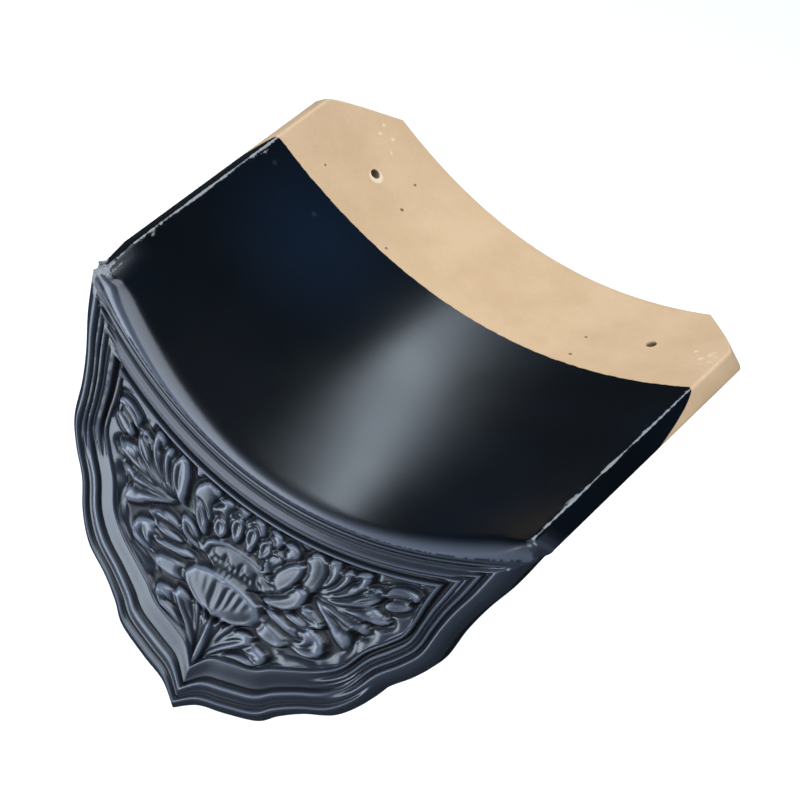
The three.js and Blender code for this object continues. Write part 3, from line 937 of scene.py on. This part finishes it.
def tile_material():
    material = bpy.data.materials.new("glaze_and_clay")
    graph = Graph(material)
    where = graph.add("ShaderNodeTexCoord").outputs["Object"]
    clay = bare_clay(graph, where)
    apron = graph.value("apron")
    crest = graph.value("crest")
    flecks = graph.noise(where, *FLECK_NOISE)
    speckle = graph.noise(where, *SPECKLE_NOISE)
    # Rubbed glaze at the corners, light rim lines that are partly painted highlight, and painted highlight
    # on the left border's crest lines
    worn = graph.ramp(graph.math("MULTIPLY_ADD", graph.value("worn"), WEAR_WEIGHT, flecks), *WEAR_RANGE)
    glazed = glaze_colour(graph, where, apron, crest, worn)
    bare = clay_colour(graph, where, flecks, speckle)
    inputs = graph.shader.inputs
    graph.join(graph.mix(clay, glazed, bare), inputs["Base Color"])
    graph.join(surface_roughness(graph, where, apron, crest, worn, clay), inputs["Roughness"])
    inputs["IOR"].default_value = GLAZE_IOR
    grain = graph.math("MULTIPLY", speckle, graph.math("MULTIPLY_ADD", clay, 1 - GLAZE_GRAIN, GLAZE_GRAIN))
    grain_bump = graph.add("ShaderNodeBump", {"Height": grain, "Strength": GRAIN_STRENGTH,
                                              "Distance": GRAIN_DISTANCE * MM})
    graph.join(grain_bump.outputs["Normal"], inputs["Normal"])
    return material


def add_tile():
    tile = bpy.data.objects.new("glazed_tile", mesh_from(tile_mesh()))
    bpy.context.scene.collection.objects.link(tile)
    tile.data.materials.append(tile_material())
    add_nail_holes(tile)
    tile.data.shade_smooth()
    tile.data.set_sharp_from_angle(angle=SHARP_ANGLE)
    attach(tile, "root")
    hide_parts("drip_tile")


# Stage

def add_floor():
    mesh = bpy.data.meshes.new("floor")
    reach = FLOOR_REACH
    mesh.from_pydata([(-reach, -reach, 0), (reach, -reach, 0), (reach, reach, 0), (-reach, reach, 0)], [],
                     [(0, 1, 2, 3)])
    floor = bpy.data.objects.new("floor", mesh)
    floor.location = (0, 0, FLOOR_HEIGHT)
    bpy.context.scene.collection.objects.link(floor)
    paint = bpy.data.materials.new("pale_floor")
    paint.use_nodes = True
    shader = paint.node_tree.nodes["Principled BSDF"]
    shader.inputs["Base Color"].default_value = FLOOR_WHITE
    shader.inputs["Roughness"].default_value = FLOOR_ROUGHNESS
    mesh.materials.append(paint)
    floor.visible_glossy = False


def add_area_light(name, place, target, size, power, tint, turn):
    light = bpy.data.lights.new(name, "AREA")
    light.shape = "RECTANGLE"
    light.size, light.size_y = size
    light.energy = power
    light.color = tint
    lamp = bpy.data.objects.new(name, light)
    lamp.location = place
    facing = (Vector(target) - Vector(place)).to_track_quat("-Z", "Y")
    lamp.rotation_euler = (facing @ Quaternion((0, 0, 1), math.radians(turn))).to_euler()
    lamp.visible_camera = False
    bpy.context.scene.collection.objects.link(lamp)


def add_camera():
    camera = bpy.data.cameras.new("camera")
    camera.sensor_width = CAMERA_SENSOR
    camera.lens = CAMERA_LENS
    camera.clip_start = CAMERA_NEAR
    back = -Vector(CAMERA_FORWARD).normalized()
    right = Vector(CAMERA_UP).cross(back).normalized()
    up = back.cross(right)
    pose = Matrix((right, up, back)).transposed().to_4x4()
    pose.translation = CAMERA_PLACE
    seen = bpy.data.objects.new("camera", camera)
    seen.matrix_world = pose
    bpy.context.scene.collection.objects.link(seen)
    bpy.context.scene.camera = seen


def add_world():
    world = bpy.data.worlds.new("studio")
    world.use_nodes = True
    background = world.node_tree.nodes["Background"]
    background.inputs["Color"].default_value = SKY_TINT
    background.inputs["Strength"].default_value = SKY_STRENGTH
    bpy.context.scene.world = world


add_tile()
add_floor()
for light_name, light_settings in LIGHTS.items():
    add_area_light(light_name, *light_settings)
add_camera()
add_world()
bpy.context.scene.view_settings.view_transform = "Standard"
